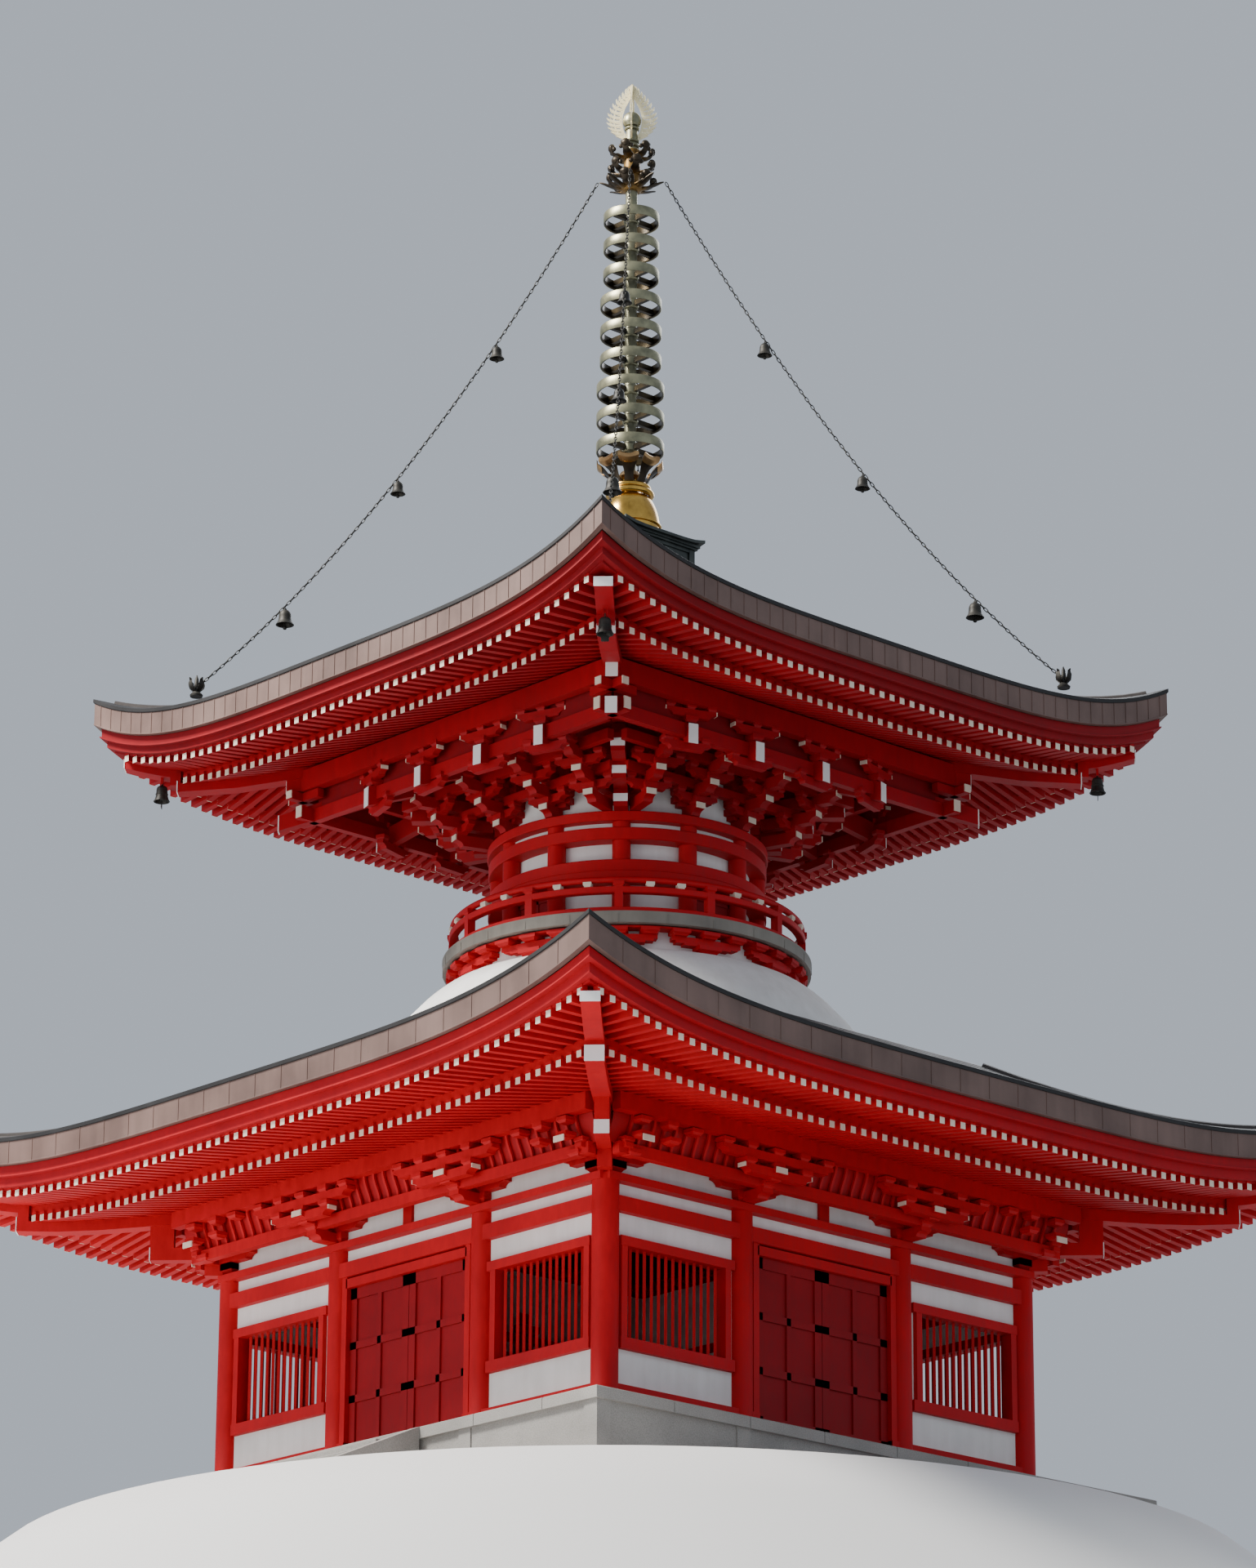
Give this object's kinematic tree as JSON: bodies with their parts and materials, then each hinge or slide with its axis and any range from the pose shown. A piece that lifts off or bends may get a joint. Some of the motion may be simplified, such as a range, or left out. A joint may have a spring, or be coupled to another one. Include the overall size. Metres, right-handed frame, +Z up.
{
  "type": "pagoda",
  "caption": "Pagoda with a square lower storey, a round upper drum on a white dome, broad bracketed copper roofs and a ringed spire stayed by chains with bells.",
  "frame": {"origin": "centre of the underside of the stone platform, at ground level", "axes": "+Z up, -Y towards the front steps, +X to the right of someone facing the building's back wall from the front"},
  "size_m": [11, 11, 17.46],
  "materials": {
    "grey_stone": "rough",
    "floor_boards": "planed",
    "white_plaster": "matt",
    "copper_roof": "weathered",
    "deck_edge": "satin",
    "bronze": "aged",
    "gilt": "polished",
    "red_timber": "painted"
  },
  "bodies": {
    "structure": {"stone_platform": "grey_stone", "front_steps": "grey_stone", "lower_floor": "floor_boards", "front_wall": "red_timber", "back_wall": "red_timber", "right_wall": "red_timber", "left_wall": "red_timber", "front_doors": "red_timber", "right_doors": "red_timber", "back_doors": "red_timber", "left_doors": "red_timber", "lower_frieze": "white_plaster", "lower_brackets_front": "red_timber", "lower_brackets_right": "red_timber", "lower_brackets_back": "red_timber", "lower_brackets_left": "red_timber", "lower_hip_front_right": "red_timber", "lower_hip_back_right": "red_timber", "lower_hip_back_left": "red_timber", "lower_hip_front_left": "red_timber", "lower_rafters": "red_timber", "lower_roof": "copper_roof", "plaster_dome": "white_plaster", "balcony_brackets": "red_timber", "balcony_deck": "deck_edge", "balcony_railing": "red_timber", "drum_frame": "red_timber", "drum_wall_front": "white_plaster", "drum_wall_right": "white_plaster", "drum_wall_back": "white_plaster", "drum_wall_left": "white_plaster", "drum_doors_front": "red_timber", "drum_doors_right": "red_timber", "drum_doors_back": "red_timber", "drum_doors_left": "red_timber", "drum_frieze": "white_plaster", "upper_brackets_front": "red_timber", "upper_brackets_right": "red_timber", "upper_brackets_back": "red_timber", "upper_brackets_left": "red_timber", "upper_hip_front_right": "red_timber", "upper_hip_back_right": "red_timber", "upper_hip_back_left": "red_timber", "upper_hip_front_left": "red_timber", "upper_rafters": "red_timber", "upper_roof": "copper_roof", "dew_basin": "bronze", "inverted_bowl": "gilt", "spire_rings": "bronze", "flaming_jewel": "gilt", "chain_front_right": "bronze", "chain_back_right": "bronze", "chain_back_left": "bronze", "chain_front_left": "bronze"},
    "bell_front_right": {"wind_bell_front_right": "bronze"},
    "bell_back_right": {"wind_bell_back_right": "bronze"},
    "bell_back_left": {"wind_bell_back_left": "bronze"},
    "bell_front_left": {"wind_bell_front_left": "bronze"}
  },
  "joints": [
    {"name": "swing_front_right", "type": "hinge", "parent": "structure", "child": "bell_front_right", "pos_m": [3.67696, -3.67696, 8.935], "axis": [0.7071, 0.7071, 0], "range_deg": [-20, 20]},
    {"name": "swing_back_right", "type": "hinge", "parent": "structure", "child": "bell_back_right", "pos_m": [3.67696, 3.67696, 8.935], "axis": [-0.7071, 0.7071, 0], "range_deg": [-20, 20]},
    {"name": "swing_back_left", "type": "hinge", "parent": "structure", "child": "bell_back_left", "pos_m": [-3.67696, 3.67696, 8.935], "axis": [-0.7071, -0.7071, 0], "range_deg": [-20, 20]},
    {"name": "swing_front_left", "type": "hinge", "parent": "structure", "child": "bell_front_left", "pos_m": [-3.67696, -3.67696, 8.935], "axis": [0.7071, -0.7071, 0], "range_deg": [-20, 20]}
  ]
}
